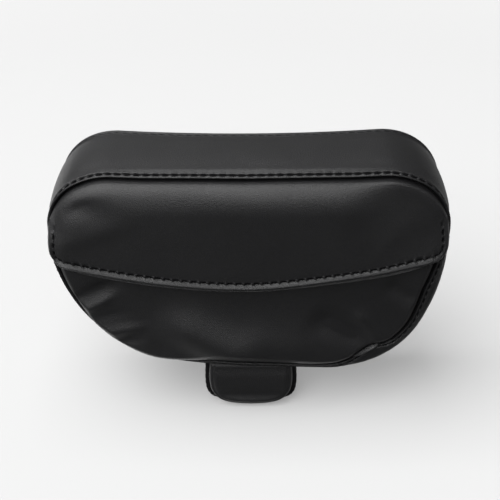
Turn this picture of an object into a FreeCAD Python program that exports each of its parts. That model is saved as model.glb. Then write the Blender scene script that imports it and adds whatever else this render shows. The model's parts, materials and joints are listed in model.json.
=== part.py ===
"""Motorcycle rider backrest: a sewn box cushion with a flap pouch on its back, on a steel tongue in a boot.

Millimetres. X runs across the pad, +Y points forward to the rider, +Z is up.
The origin is midway between the two bolt holes of the tongue, on the face that seats on the motorcycle.
"""

import FreeCAD
import Part
import math
import os

V = FreeCAD.Vector

# Outline of the pad, seen from behind
PAD_WIDTH = 300.0
PAD_HEIGHT = 182.0
PAD_ABOVE_BOLTS = 22.0
SHOULDER_HEIGHT = 44.0
SHOULDER_RADIUS = 24.0
TOP_RADIUS = 52.0
SIDE_STRAIGHT = 24.0
SIDE_BOW = 36.0
LOWER_RADIUS = 83.0

# Section of the pad, from front to back
PAD_DEPTH = 74.0
DISH_DEPTH = 15.0
FRONT_EDGE_RADIUS = 14.0
REAR_EDGE_RADIUS = 6.0
COVER_THICKNESS = 1.4
BOARD_THICKNESS = 9.0
BOARD_EDGE_FOAM = 8.6
REAR_FOAM_THICKNESS = 14.6

# Pouch and flap on the back of the pad
POUCH_DEPTH = 10.0
POUCH_EDGE_RADIUS = 9.0
POUCH_MOUTH_DROP = 52.0
BINDING_WIDTH = 8.0
BINDING_THICKNESS = 0.8
FLAP_THICKNESS = 1.4
FLAP_LINING_THICKNESS = 0.8
FLAP_LINING_REACH = 1.5
FLAP_SIDE_GAP = 1.8
FLAP_SIDE_DROP = 70.5
FLAP_CENTRE_DROP = 93.5
FLAP_CORNER_RADIUS = 7.0
FLAP_SEWN_DROP = 44.0
HEM_WIDTH = 5.0
HEM_RISE = 0.8
STRIP_LENGTH = 110.0
STRIP_WIDTH = 18.0
STRIP_THICKNESS = 1.4
STRIP_ABOVE_HEM = 10.0

# Steel spine and its tongue
PLATE_THICKNESS = 4.0
SPINE_WIDTH = 110.0
SPINE_HEIGHT = 84.0
SPINE_ABOVE_PAD_BOTTOM = 38.0
SPINE_TAPER = 20.0
SPINE_CORNER = 8.0
BLADE_WIDTH = 60.0
BLADE_BELOW_BOLTS = 14.0
BLADE_CLEARANCE = 0.3

# Bolts that join the spine to the board
SPINE_BOLT_SPACING_X = 80.0
SPINE_BOLT_SPACING_Z = 62.0
SPINE_BOLT_ABOVE_TAPER = 11.0
BOLT_DIAMETER = 6.0
BOLT_HEAD_DIAMETER = 10.5
BOLT_HEAD_HEIGHT = 3.2
BOLT_SOCKET_WIDTH = 4.0
BOLT_SOCKET_DEPTH = 1.8
WASHER_DIAMETER = 14.0
WASHER_THICKNESS = 1.6
TEE_NUT_FLANGE_DIAMETER = 18.0
TEE_NUT_FLANGE_THICKNESS = 1.4
TEE_NUT_BARREL_DIAMETER = 8.2
TEE_NUT_BARREL_LENGTH = 7.5
THREAD_CLEARANCE = 0.05
HOLE_CLEARANCE = 0.3
FOAM_CLEARANCE = 1.0

# Mounting holes of the tongue, with weld nuts behind them
MOUNT_SPACING = 40.0
MOUNT_HOLE_DIAMETER = 8.5
WELD_NUT_BORE = 8.0
WELD_NUT_ACROSS_FLATS = 13.0
WELD_NUT_HEIGHT = 6.5

# Boot around the tongue
BOOT_SIDE_FOAM = 6.4
BOOT_END_FOAM = 2.4
BOOT_REAR_FOAM = 10.0
BOOT_BOTTOM_RADIUS = 120.0
GUSSET_CORNER = 16.0
GUSSET_THICKNESS = 1.6
GUSSET_DEPTH = 9.0
BOOT_PANEL_CORNER = 24.0
BOOT_PANEL_EDGE = 5.0

# Places worked out from the sizes above; the board's rear face is at the tongue's seating face
HALF_WIDTH = PAD_WIDTH / 2
PAD_BOTTOM = PAD_ABOVE_BOLTS
PAD_TOP = PAD_BOTTOM + PAD_HEIGHT
REAR_FACE = -(REAR_FOAM_THICKNESS + COVER_THICKNESS)
FRONT_FACE = REAR_FACE + PAD_DEPTH
DISH_RADIUS = (HALF_WIDTH**2 + DISH_DEPTH**2) / (2 * DISH_DEPTH)
DISH_AXIS_Y = FRONT_FACE + DISH_RADIUS
STRIP_GAP = 2 * STRIP_THICKNESS
POUCH_INSET = REAR_EDGE_RADIUS + FLAP_THICKNESS + FLAP_LINING_THICKNESS + FLAP_SIDE_GAP
LINING_INSET = REAR_EDGE_RADIUS + FLAP_THICKNESS
LINING_DEPTH = POUCH_DEPTH + STRIP_GAP + FLAP_LINING_THICKNESS
FLAP_DEPTH = LINING_DEPTH + FLAP_THICKNESS
POUCH_MOUTH = PAD_TOP - POUCH_MOUTH_DROP
STRIP_LOW = PAD_TOP - FLAP_CENTRE_DROP + STRIP_ABOVE_HEM
TAPER_TOP = PAD_BOTTOM + SPINE_ABOVE_PAD_BOTTOM
SPINE_TOP = TAPER_TOP + SPINE_HEIGHT
BOOT_HALF_WIDTH = BLADE_WIDTH / 2 + BOOT_SIDE_FOAM + GUSSET_THICKNESS
BOOT_BOTTOM = -(BLADE_BELOW_BOLTS + BOOT_END_FOAM + GUSSET_THICKNESS)
BOOT_REAR = -(PLATE_THICKNESS + BOOT_REAR_FOAM + COVER_THICKNESS)
FAR = 4 * (PAD_WIDTH + PAD_HEIGHT + PAD_DEPTH)


def polar(centre, radius, angle):
    """The X and Z of a point on a circle about centre."""
    return centre[0] + radius * math.cos(angle), centre[1] + radius * math.sin(angle)


def arc(centre, radius, start, end, y):
    """A circular edge about an axis along Y, from one angle to another."""
    points = [polar(centre, radius, a) for a in (start, (start + end) / 2, end)]
    return Part.Arc(*[V(x, y, z) for x, z in points]).toShape()


def line(start, end, y):
    """A straight edge between two X and Z points."""
    return Part.makeLine(V(start[0], y, start[1]), V(end[0], y, end[1]))


def angle_between(centre, other):
    """The direction from one X and Z point to another."""
    return math.atan2(other[1] - centre[1], other[0] - centre[0])


def closed_wire(half):
    """Right-hand edges, from the middle of the top to the middle of the bottom, joined to their mirror image."""
    left = [edge.mirror(V(0, 0, 0), V(1, 0, 0)) for edge in half]
    return Part.Wire(Part.__sortEdges__(half + left))


def pad_outline(inset, y):
    """The pad's outline, moved in by inset: straight runs and tangent arcs, wide shoulders and round lower corners."""
    shoulder = PAD_TOP - SHOULDER_HEIGHT
    hip = shoulder - SIDE_STRAIGHT
    lower_height = hip - PAD_BOTTOM
    side_radius = lower_height + SIDE_BOW
    top_reach = math.sqrt((TOP_RADIUS - SHOULDER_RADIUS) ** 2 - (TOP_RADIUS - SHOULDER_HEIGHT) ** 2)
    low_reach = math.sqrt((side_radius - LOWER_RADIUS) ** 2 - (lower_height - LOWER_RADIUS) ** 2)
    shoulder_centre = (HALF_WIDTH - SHOULDER_RADIUS, shoulder)
    top_centre = (shoulder_centre[0] - top_reach, PAD_TOP - TOP_RADIUS)
    side_centre = (HALF_WIDTH - side_radius, hip)
    low_centre = (side_centre[0] + low_reach, PAD_BOTTOM + LOWER_RADIUS)
    high_turn = angle_between(top_centre, shoulder_centre)
    low_turn = angle_between(side_centre, low_centre)
    edge = HALF_WIDTH - inset
    return closed_wire([
        line((0, PAD_TOP - inset), (top_centre[0], PAD_TOP - inset), y),
        arc(top_centre, TOP_RADIUS - inset, math.pi / 2, high_turn, y),
        arc(shoulder_centre, SHOULDER_RADIUS - inset, high_turn, 0, y),
        line((edge, shoulder), (edge, hip), y),
        arc(side_centre, side_radius - inset, 0, low_turn, y),
        arc(low_centre, LOWER_RADIUS - inset, low_turn, -math.pi / 2, y),
        line((low_centre[0], PAD_BOTTOM + inset), (0, PAD_BOTTOM + inset), y),
    ])


def boot_outline(inset, corner, y):
    """The tongue boot's outline: straight sides, round lower corners and a slightly bowed lower edge."""
    corner_x = BOOT_HALF_WIDTH - corner
    rise = math.sqrt((BOOT_BOTTOM_RADIUS - corner) ** 2 - corner_x**2)
    bottom_centre = (0, BOOT_BOTTOM + BOOT_BOTTOM_RADIUS)
    corner_centre = (corner_x, bottom_centre[1] - rise)
    turn = angle_between(bottom_centre, corner_centre)
    edge = BOOT_HALF_WIDTH - inset
    return closed_wire([
        line((0, PAD_BOTTOM), (edge, PAD_BOTTOM), y),
        line((edge, PAD_BOTTOM), (edge, corner_centre[1]), y),
        arc(corner_centre, corner - inset, 0, turn, y),
        arc(bottom_centre, BOOT_BOTTOM_RADIUS - inset, turn, -math.pi / 2, y),
    ])


def prism(wire, depth):
    """A wire filled and pushed along Y."""
    return Part.Face(wire).extrude(V(0, depth, 0))


def edges_at(solid, y):
    """The edges of a solid that lie in the plane at y."""
    box = [(edge, edge.BoundBox) for edge in solid.Edges]
    return [edge for edge, b in box if abs(b.YMin - y) < 1e-4 and abs(b.YMax - y) < 1e-4]


def block(x_low, x_high, y_low, y_high, z_low, z_high):
    """A box between two corners."""
    return Part.makeBox(x_high - x_low, y_high - y_low, z_high - z_low, V(x_low, y_low, z_low))


def rod(x, z, y_low, y_high, diameter):
    """A round bar along Y."""
    return Part.makeCylinder(diameter / 2, y_high - y_low, V(x, y_low, z), V(0, 1, 0))


def group(solids):
    """Separate solids of one node."""
    return Part.makeCompound(solids)


def in_front_of_dish(offset):
    """All that lies in front of the dished front, set back by offset."""
    radius = DISH_RADIUS + offset
    return Part.makeCylinder(radius, FAR, V(0, DISH_AXIS_Y, PAD_BOTTOM - FAR / 2), V(0, 0, 1))


def on_dish(edge, offset):
    """Whether an edge lies on the dished front, set back by offset."""
    middle = edge.valueAt((edge.FirstParameter + edge.LastParameter) / 2)
    return abs(math.hypot(middle.x, middle.y - DISH_AXIS_Y) - DISH_RADIUS - offset) < 1e-3


def pad_form(inset):
    """The cushion's outer form, moved in by inset: a dished front, rounded edges front and back, a flat rear face."""
    form = prism(pad_outline(inset, REAR_FACE + inset), PAD_DEPTH + DISH_DEPTH + FRONT_EDGE_RADIUS)
    form = form.cut(in_front_of_dish(inset))
    form = form.makeFillet(FRONT_EDGE_RADIUS - inset, [e for e in form.Edges if on_dish(e, inset)])
    return form.makeFillet(REAR_EDGE_RADIUS - inset, edges_at(form, REAR_FACE + inset))


def pillow(inset, depth, radius):
    """A raised panel on the rear face with a rounded edge."""
    form = prism(pad_outline(inset, REAR_FACE), -depth)
    return form.makeFillet(radius, edges_at(form, REAR_FACE - depth))


def pillow_shell(inset, depth, radius, thickness):
    """The skin of a pillow, open towards the pad."""
    return pillow(inset, depth, radius).cut(pillow(inset + thickness, depth - thickness, radius - thickness))


def flap_region(inset, extra_drop):
    """Where the flap lies, seen from behind: cut off below by a bowed hem with round corners."""
    side_z = PAD_TOP - FLAP_SIDE_DROP - extra_drop
    centre_z = PAD_TOP - FLAP_CENTRE_DROP - extra_drop
    side_x = HALF_WIDTH - LINING_INSET + FLAP_THICKNESS + HEM_RISE
    high = PAD_TOP + PAD_HEIGHT
    front = REAR_FACE + COVER_THICKNESS
    hem = Part.Arc(V(-side_x, front, side_z), V(0, front, centre_z), V(side_x, front, side_z)).toShape()
    edges = [
        hem,
        line((side_x, side_z), (side_x, high), front),
        line((side_x, high), (-side_x, high), front),
        line((-side_x, high), (-side_x, side_z), front),
    ]
    region = prism(Part.Wire(Part.__sortEdges__(edges)), -2 * FLAP_DEPTH)
    corners = [e for e in region.Edges if e.Curve.TypeId == "Part::GeomLine" and e.BoundBox.ZMax < side_z + 1e-3]
    region = region.makeFillet(FLAP_CORNER_RADIUS, [e for e in corners if abs(e.BoundBox.ZLength) < 1e-3])
    if inset:
        face = [f for f in region.Faces if abs(f.BoundBox.YMin - front) < 1e-4][0]
        region = prism(face.OuterWire.makeOffset2D(-inset), -2 * FLAP_DEPTH)
    return region


def hex_prism(x, z, y_low, y_high, across_flats):
    """A hexagonal bar along Y."""
    radius = across_flats / math.sqrt(3)
    corners = [polar((x, z), radius, math.radians(60 * i)) for i in range(7)]
    return prism(Part.makePolygon([V(cx, y_low, cz) for cx, cz in corners]), y_high - y_low)


def spine_bolt_places():
    """X and Z of the four bolts that hold the spine to the board."""
    low = TAPER_TOP + SPINE_BOLT_ABOVE_TAPER
    half = SPINE_BOLT_SPACING_X / 2
    return [(x, z) for z in (low, low + SPINE_BOLT_SPACING_Z) for x in (-half, half)]


def mount_places():
    """X and Z of the two mounting holes."""
    return [(-MOUNT_SPACING / 2, 0), (MOUNT_SPACING / 2, 0)]


# Cover


def cover_shell():
    """The whole sewn skin of the cushion."""
    return pad_form(0).cut(pad_form(COVER_THICKNESS))


def rear_opening():
    """Where the rear lining fills the band's turned-in edge."""
    return prism(pad_outline(REAR_EDGE_RADIUS, REAR_FACE - COVER_THICKNESS), 3 * COVER_THICKNESS)


def front_panel(shell):
    """The panel that the rider leans on."""
    return shell.common(in_front_of_dish(FRONT_EDGE_RADIUS))


def boxing_band(shell):
    """The band round the edge, turned in at the back, with a slot in its underside for the blade."""
    half_slot = BLADE_WIDTH / 2 + BLADE_CLEARANCE
    slot = block(
        -half_slot, half_slot,
        -PLATE_THICKNESS - BLADE_CLEARANCE, BLADE_CLEARANCE,
        PAD_BOTTOM - COVER_THICKNESS, PAD_BOTTOM + 2 * COVER_THICKNESS,
    )
    return shell.cut(in_front_of_dish(FRONT_EDGE_RADIUS)).cut(rear_opening()).cut(slot)


def rear_lining(shell):
    """The cushion's own back, behind the pouch."""
    return shell.common(rear_opening())


# Inside of the cushion


def back_board():
    """The plywood board that carries the foam, bored for the tee nuts."""
    board = prism(pad_outline(COVER_THICKNESS + BOARD_EDGE_FOAM, 0), BOARD_THICKNESS)
    for x, z in spine_bolt_places():
        board = board.cut(rod(x, z, 0, BOARD_THICKNESS, TEE_NUT_BARREL_DIAMETER + 2 * THREAD_CLEARANCE))
    return board


def foam_pad(inside, board):
    """The thick foam between the board and the front panel, wrapped round the board's edge."""
    foam = inside.common(block(-FAR, FAR, 0, FAR, -FAR, FAR)).cut(board)
    pocket = TEE_NUT_FLANGE_DIAMETER + 2 * FOAM_CLEARANCE
    deep = BOARD_THICKNESS + TEE_NUT_FLANGE_THICKNESS + FOAM_CLEARANCE
    for x, z in spine_bolt_places():
        foam = foam.cut(rod(x, z, 0, deep, pocket))
    return foam


def rear_foam(inside, spine):
    """The thin foam behind the board, with room for the spine and its bolt heads."""
    foam = inside.common(block(-FAR, FAR, -FAR, 0, -FAR, FAR)).cut(spine)
    pocket = WASHER_DIAMETER + 2 * FOAM_CLEARANCE
    deep = PLATE_THICKNESS + WASHER_THICKNESS + BOLT_HEAD_HEIGHT + FOAM_CLEARANCE
    for x, z in spine_bolt_places():
        foam = foam.cut(rod(x, z, -deep, 0, pocket))
    return foam


def spine_plate():
    """A flat steel plate: a wide head bolted to the board, tapering to the tongue's blade."""
    half, blade = SPINE_WIDTH / 2, BLADE_WIDTH / 2
    right = [
        (half, SPINE_TOP),
        (half, TAPER_TOP),
        (blade, TAPER_TOP - SPINE_TAPER),
        (blade, -BLADE_BELOW_BOLTS),
    ]
    corners = right + [(-x, z) for x, z in reversed(right)]
    corners.append(corners[0])
    plate = prism(Part.makePolygon([V(x, -PLATE_THICKNESS, z) for x, z in corners]), PLATE_THICKNESS)
    upright = [e for e in plate.Edges if e.BoundBox.XLength < 1e-4 and e.BoundBox.ZLength < 1e-4]
    plate = plate.makeFillet(SPINE_CORNER, upright)
    for x, z in spine_bolt_places():
        plate = plate.cut(rod(x, z, -PLATE_THICKNESS, 0, BOLT_DIAMETER + 2 * HOLE_CLEARANCE))
    for x, z in mount_places():
        plate = plate.cut(rod(x, z, -PLATE_THICKNESS, 0, MOUNT_HOLE_DIAMETER))
    return plate


def spine_washers():
    """One flat washer under each bolt head."""
    seat = -PLATE_THICKNESS
    rings = []
    for x, z in spine_bolt_places():
        ring = rod(x, z, seat - WASHER_THICKNESS, seat, WASHER_DIAMETER)
        rings.append(ring.cut(rod(x, z, seat - WASHER_THICKNESS, seat, BOLT_DIAMETER + 2 * HOLE_CLEARANCE)))
    return group(rings)


def spine_bolts():
    """Button-head bolts from behind, with a hexagon socket, long enough to reach through the tee nuts."""
    seat = -PLATE_THICKNESS - WASHER_THICKNESS
    tip = BOARD_THICKNESS + TEE_NUT_FLANGE_THICKNESS
    crown = seat - BOLT_HEAD_HEIGHT
    bolts = []
    for x, z in spine_bolt_places():
        head = rod(x, z, crown, seat, BOLT_HEAD_DIAMETER)
        head = head.makeFillet(0.75 * BOLT_HEAD_HEIGHT, edges_at(head, crown))
        bolt = head.fuse(rod(x, z, seat, tip, BOLT_DIAMETER)).removeSplitter()
        bolts.append(bolt.cut(hex_prism(x, z, crown, crown + BOLT_SOCKET_DEPTH, BOLT_SOCKET_WIDTH)))
    return group(bolts)


def tee_nuts():
    """Tee nuts pressed into the board from the front."""
    nuts = []
    for x, z in spine_bolt_places():
        flange_rear = BOARD_THICKNESS
        flange_front = BOARD_THICKNESS + TEE_NUT_FLANGE_THICKNESS
        nut = rod(x, z, flange_rear, flange_front, TEE_NUT_FLANGE_DIAMETER)
        nut = nut.fuse(rod(x, z, flange_rear - TEE_NUT_BARREL_LENGTH, flange_rear, TEE_NUT_BARREL_DIAMETER))
        nuts.append(nut.cut(rod(x, z, 0, flange_front, BOLT_DIAMETER + 2 * THREAD_CLEARANCE)).removeSplitter())
    return group(nuts)


# Pouch


def pouch_panel():
    """The pouch's outer wall: a shallow pocket, open at its mouth under the flap."""
    shell = pillow_shell(POUCH_INSET, POUCH_DEPTH, POUCH_EDGE_RADIUS, COVER_THICKNESS)
    return shell.common(block(-FAR, FAR, -FAR, FAR, -FAR, POUCH_MOUTH))


def pouch_binding(panel):
    """A tape folded over the pouch's mouth edge."""
    skin = BINDING_THICKNESS
    tape = pillow_shell(
        POUCH_INSET - skin, POUCH_DEPTH + skin, POUCH_EDGE_RADIUS + skin, COVER_THICKNESS + 2 * skin
    )
    band = block(-FAR, FAR, -FAR, FAR, POUCH_MOUTH - BINDING_WIDTH, POUCH_MOUTH + skin)
    return tape.common(band).cut(panel)


def fastener_strip(depth):
    """A flat strip of hook or loop tape at that depth behind the rear face."""
    half = STRIP_LENGTH / 2
    strip = block(
        -half, half, REAR_FACE - depth - STRIP_THICKNESS, REAR_FACE - depth, STRIP_LOW, STRIP_LOW + STRIP_WIDTH
    )
    upright = [e for e in strip.Edges if e.BoundBox.YLength > 1e-4]
    return strip.makeFillet(STRIP_WIDTH / 6, upright)


def flap():
    """The flap: sewn in along the top, with a folded hem that stands up round its free edge."""
    inset, radius = REAR_EDGE_RADIUS, POUCH_EDGE_RADIUS + STRIP_GAP
    panel = pillow_shell(inset, FLAP_DEPTH, radius, FLAP_THICKNESS).common(flap_region(0, 0))
    thick = FLAP_THICKNESS + HEM_RISE
    raised = pillow_shell(inset - HEM_RISE, FLAP_DEPTH + HEM_RISE, radius + HEM_RISE, thick)
    free_edge = flap_region(0, 0).cut(flap_region(HEM_WIDTH, 0))
    hem = raised.common(free_edge).common(block(-FAR, FAR, -FAR, FAR, -FAR, PAD_TOP - FLAP_SEWN_DROP))
    return panel.fuse(hem).removeSplitter()


def flap_lining():
    """The flap's inner layer, which shows as a thin line below the hem."""
    radius = POUCH_EDGE_RADIUS + STRIP_GAP - FLAP_THICKNESS
    shell = pillow_shell(LINING_INSET, LINING_DEPTH, radius, FLAP_LINING_THICKNESS)
    return shell.common(flap_region(0, FLAP_LINING_REACH))


# Boot of the tongue


def boot_panel():
    """The vinyl panel over the back of the tongue, with a rounded edge."""
    rear = -GUSSET_DEPTH
    outer = prism(boot_outline(0, BOOT_PANEL_CORNER, rear), BOOT_REAR - rear)
    outer = outer.makeFillet(BOOT_PANEL_EDGE, boot_rim(outer, BOOT_REAR))
    return outer.cut(boot_panel_inside())


def boot_panel_inside():
    """The room inside the boot's vinyl panel."""
    rear, skin = -GUSSET_DEPTH, COVER_THICKNESS
    inner = prism(boot_outline(skin, BOOT_PANEL_CORNER, rear), BOOT_REAR + skin - rear)
    return inner.makeFillet(BOOT_PANEL_EDGE - skin, boot_rim(inner, BOOT_REAR + skin))


def boot_rim(solid, y):
    """The free edges of a boot piece in the plane at y, apart from the one under the pad."""
    return [e for e in edges_at(solid, y) if e.BoundBox.ZMin < PAD_BOTTOM - 1e-3]


def boot_inside():
    """The room inside the gusset."""
    depth = GUSSET_DEPTH - 2 * GUSSET_THICKNESS
    return prism(boot_outline(GUSSET_THICKNESS, GUSSET_CORNER, -GUSSET_DEPTH + GUSSET_THICKNESS), depth)


def blade_window():
    """The part of the boot's front that the blade fills, flush with its edge."""
    half = BLADE_WIDTH / 2
    return block(-half, half, -PLATE_THICKNESS, 0, -BLADE_BELOW_BOLTS, PAD_BOTTOM)


def boot_gusset():
    """The woven band round the tongue's edge, turned in at the front beside the blade and at the back."""
    band = prism(boot_outline(0, GUSSET_CORNER, -GUSSET_DEPTH), GUSSET_DEPTH)
    back_window = prism(boot_outline(COVER_THICKNESS, BOOT_PANEL_CORNER, -GUSSET_DEPTH), GUSSET_THICKNESS)
    return band.cut(boot_inside()).cut(blade_window()).cut(back_window)


def boot_foam(spine):
    """The foam round the blade, with pockets for the weld nuts."""
    back_window = prism(boot_outline(COVER_THICKNESS, BOOT_PANEL_CORNER, -GUSSET_DEPTH), GUSSET_THICKNESS)
    foam = boot_inside().fuse([back_window, boot_panel_inside()]).removeSplitter().cut(spine)
    deep = PLATE_THICKNESS + WELD_NUT_HEIGHT + FOAM_CLEARANCE
    across = 2 * WELD_NUT_ACROSS_FLATS / math.sqrt(3) + FOAM_CLEARANCE
    for x, z in mount_places():
        foam = foam.cut(rod(x, z, -deep, 0, across))
    return foam


def weld_nuts():
    """Hexagon nuts welded behind the mounting holes, with plain bores."""
    nuts = []
    for x, z in mount_places():
        nut = hex_prism(x, z, -PLATE_THICKNESS - WELD_NUT_HEIGHT, -PLATE_THICKNESS, WELD_NUT_ACROSS_FLATS)
        nuts.append(nut.cut(rod(x, z, -PLATE_THICKNESS - WELD_NUT_HEIGHT, -PLATE_THICKNESS, WELD_NUT_BORE)))
    return group(nuts)


def build():
    """Every piece of the backrest by its name."""
    shell = cover_shell()
    inside = pad_form(COVER_THICKNESS)
    board = back_board()
    spine = spine_plate()
    panel = pouch_panel()
    return {
        "front_panel": front_panel(shell),
        "boxing_band": boxing_band(shell),
        "rear_lining": rear_lining(shell),
        "foam_pad": foam_pad(inside, board),
        "rear_foam": rear_foam(inside, spine),
        "back_board": board,
        "spine_plate": spine,
        "spine_washers": spine_washers(),
        "spine_bolts": spine_bolts(),
        "tee_nuts": tee_nuts(),
        "pouch_panel": panel,
        "pouch_binding": pouch_binding(panel),
        "loop_strip": fastener_strip(POUCH_DEPTH),
        "hook_strip": fastener_strip(POUCH_DEPTH + STRIP_THICKNESS),
        "flap_lining": flap_lining(),
        "pouch_flap": flap(),
        "boot_panel": boot_panel(),
        "boot_gusset": boot_gusset(),
        "boot_foam": boot_foam(spine),
        "weld_nuts": weld_nuts(),
    }


def main():
    os.makedirs("parts", exist_ok=True)
    for name, shape in build().items():
        print(f"{name}: valid {shape.isValid()}, solids {len(shape.Solids)}, volume {shape.Volume:.0f} mm3")
        shape.exportStep(f"parts/{name}.step")


if __name__ == "__main__":
    main()
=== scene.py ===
"""Dresses the rider backrest: a sewn vinyl cushion with a flap pouch and a covered tongue, light and camera.

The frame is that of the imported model: X across the pad, +Y forward to the rider, +Z up. Shapes are worked
out in millimetres and become metres when a piece is made. The stage is in metres.
"""

import json
import math
from types import SimpleNamespace

import bpy
import numpy as np
from bpy.props import FloatProperty, FloatVectorProperty, PointerProperty
from mathutils import Matrix, Vector


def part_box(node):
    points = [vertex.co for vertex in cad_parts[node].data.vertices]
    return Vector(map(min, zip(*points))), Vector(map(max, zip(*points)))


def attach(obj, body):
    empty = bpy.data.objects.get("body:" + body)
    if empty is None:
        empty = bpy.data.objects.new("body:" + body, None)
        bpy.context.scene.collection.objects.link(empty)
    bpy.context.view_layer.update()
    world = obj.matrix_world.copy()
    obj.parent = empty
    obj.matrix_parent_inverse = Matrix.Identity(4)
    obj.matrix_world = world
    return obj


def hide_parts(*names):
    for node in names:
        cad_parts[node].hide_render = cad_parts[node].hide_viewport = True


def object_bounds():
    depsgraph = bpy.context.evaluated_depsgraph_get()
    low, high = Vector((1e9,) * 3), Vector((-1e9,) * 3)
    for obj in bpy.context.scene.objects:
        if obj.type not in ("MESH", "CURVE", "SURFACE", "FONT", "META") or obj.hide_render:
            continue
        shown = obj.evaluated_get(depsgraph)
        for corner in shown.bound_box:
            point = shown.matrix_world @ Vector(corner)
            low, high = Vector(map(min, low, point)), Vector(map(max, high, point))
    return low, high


bl_info = {
    "name": "Rider backrest",
    "version": (1, 0, 0),
    "blender": (4, 5, 0),
    "location": "View3D > Sidebar > Backrest",
    "description": "Builds the sewn cushion, its flap pouch and its tongue around the packed backrest",
    "category": "Object",
}

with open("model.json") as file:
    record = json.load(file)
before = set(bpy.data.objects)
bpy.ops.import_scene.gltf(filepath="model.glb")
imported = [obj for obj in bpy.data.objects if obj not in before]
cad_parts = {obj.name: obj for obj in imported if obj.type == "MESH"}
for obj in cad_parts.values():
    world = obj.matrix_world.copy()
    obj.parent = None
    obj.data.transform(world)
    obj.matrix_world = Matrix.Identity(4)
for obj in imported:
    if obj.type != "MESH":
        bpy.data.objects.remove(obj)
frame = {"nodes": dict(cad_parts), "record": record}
CAD_LOW, CAD_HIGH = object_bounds()
MM = 0.001


def box_mm(node):
    """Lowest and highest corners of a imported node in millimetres."""
    return [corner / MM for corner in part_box(node)]


BAND_LOW, BAND_HIGH = box_mm("boxing_band")
HALF_WIDTH = BAND_HIGH.x
PAD_BOTTOM, PAD_TOP = BAND_LOW.z, BAND_HIGH.z
PAD_MIDDLE = (PAD_BOTTOM + PAD_TOP) / 2
REAR_FACE = box_mm("rear_lining")[0].y
FRONT_SIDES = box_mm("front_panel")[1].y
BOOT_LOW, BOOT_HIGH = box_mm("boot_panel")
GUSSET_LOW, GUSSET_HIGH = box_mm("boot_gusset")
POUCH_MOUTH = box_mm("pouch_panel")[1].z
TO_FRONT = np.array([0, 1.0, 0])


def length(millimetres, title, words):
    """A size that a user may change."""
    return FloatProperty(name=title, description=words, default=millimetres * MM, unit="LENGTH", precision=5)


def angle(degrees, title, words):
    """An angle that a user may change."""
    return FloatProperty(name=title, description=words, default=math.radians(degrees), subtype="ANGLE")


def strength(default, title, words, subtype="NONE"):
    """A strength of light that a user may change."""
    return FloatProperty(name=title, description=words, default=default, min=0, subtype=subtype)


def colour(default, title, words):
    """A colour that a user may change."""
    return FloatVectorProperty(name=title, description=words, default=default, subtype="COLOR", min=0, max=1)


class BackrestSizes(bpy.types.PropertyGroup):
    """Sizes of the sewn cushion."""

    shoulder_height: length(44, "Shoulder height", "From the widest place up to the top edge")
    shoulder_radius: length(24, "Shoulder radius", "Radius where the side turns towards the top")
    top_radius: length(52, "Top radius", "Radius where the shoulder turns into the top edge")
    side_straight: length(24, "Side straight", "Straight run at the widest place")
    side_bow: length(36, "Side bow", "How much the lower side's radius exceeds its height")
    lower_radius: length(83, "Lower radius", "Radius of the lower corners")
    dish_depth: length(15, "Dish depth", "How far the sides of the front stand forward of its middle")
    front_roll: length(10, "Front roll", "From the band's front seam to the front face")
    seam_roll: length(4.8, "Seam roll", "From the rear seam to its row of topstitching")
    front_stitch: length(6.2, "Front stitch", "From the front seam to its row of topstitching")
    stitch_pitch: length(6.9, "Stitch pitch", "Distance from one needle hole to the next")
    thread: length(0.95, "Thread", "Diameter of the sewing thread")
    band_bulge: length(2.0, "Band bulge", "How far the foam pushes the band out")
    vinyl: length(1.4, "Vinyl", "Thickness of the vinyl")
    flap_puff: length(14.2, "Flap puff", "How far the flap stands out of its seam")
    pouch_puff: length(4.0, "Pouch puff", "How far the pouch stands out of its seam")
    hem_drop_side: length(70.5, "Hem drop at the sides", "From the pad's top to the hem's corners")
    hem_drop_middle: length(93.5, "Hem drop in the middle", "From the pad's top to the hem's lowest place")


class BackrestColours(bpy.types.PropertyGroup):
    """Colours of the backrest's materials."""

    vinyl: colour((0.0022, 0.0022, 0.0024), "Vinyl", "Black grained vinyl")
    thread: colour((0.0010, 0.0010, 0.0011), "Thread", "Black sewing thread")
    tape: colour((0.0008, 0.0008, 0.0009), "Tape", "Black woven tape")
    lining: colour((0.004, 0.004, 0.0045), "Lining", "Black lining cloth")
    foam: colour((0.62, 0.58, 0.44), "Foam", "Upholstery foam")
    plywood: colour((0.52, 0.36, 0.20), "Plywood", "Birch plywood")
    steel: colour((0.018, 0.018, 0.019), "Steel", "Black powder coat")
    zinc: colour((0.60, 0.60, 0.58), "Zinc", "Bright zinc plate")
    floor: colour((1.0, 1.0, 1.0), "Floor", "How bright the lit floor comes out")


class BackrestStage(bpy.types.PropertyGroup):
    """Camera and light."""

    azimuth: angle(1.29, "Azimuth", "Camera's turn to the right")
    elevation: angle(33.63, "Elevation", "Camera's height angle")
    roll: angle(-0.89, "Roll", "Camera's turn about its own axis")
    distance: length(762.3, "Distance", "From the camera to the pad's middle")
    lens: FloatProperty(
        name="Lens", description="Focal length on a 36 mm sensor", default=69.17, unit="CAMERA"
    )
    key: strength(17.0, "Key light", "Radiance of the large overhead light")
    floor_glow: strength(0.25, "Floor glow", "Share of the floor's brightness from below", "FACTOR")
    fill: strength(1.05, "Fill", "Strength of the white surroundings")
    front: strength(1.8, "Front", "Strength of the soft light behind the camera")


def sizes():
    """The sizes in millimetres."""
    group = bpy.context.scene.backrest_sizes
    return SimpleNamespace(**{name: getattr(group, name) / MM for name in BackrestSizes.__annotations__})


def colours():
    return bpy.context.scene.backrest_colours


def stage_settings():
    return bpy.context.scene.backrest_stage


# Shader maths


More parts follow.
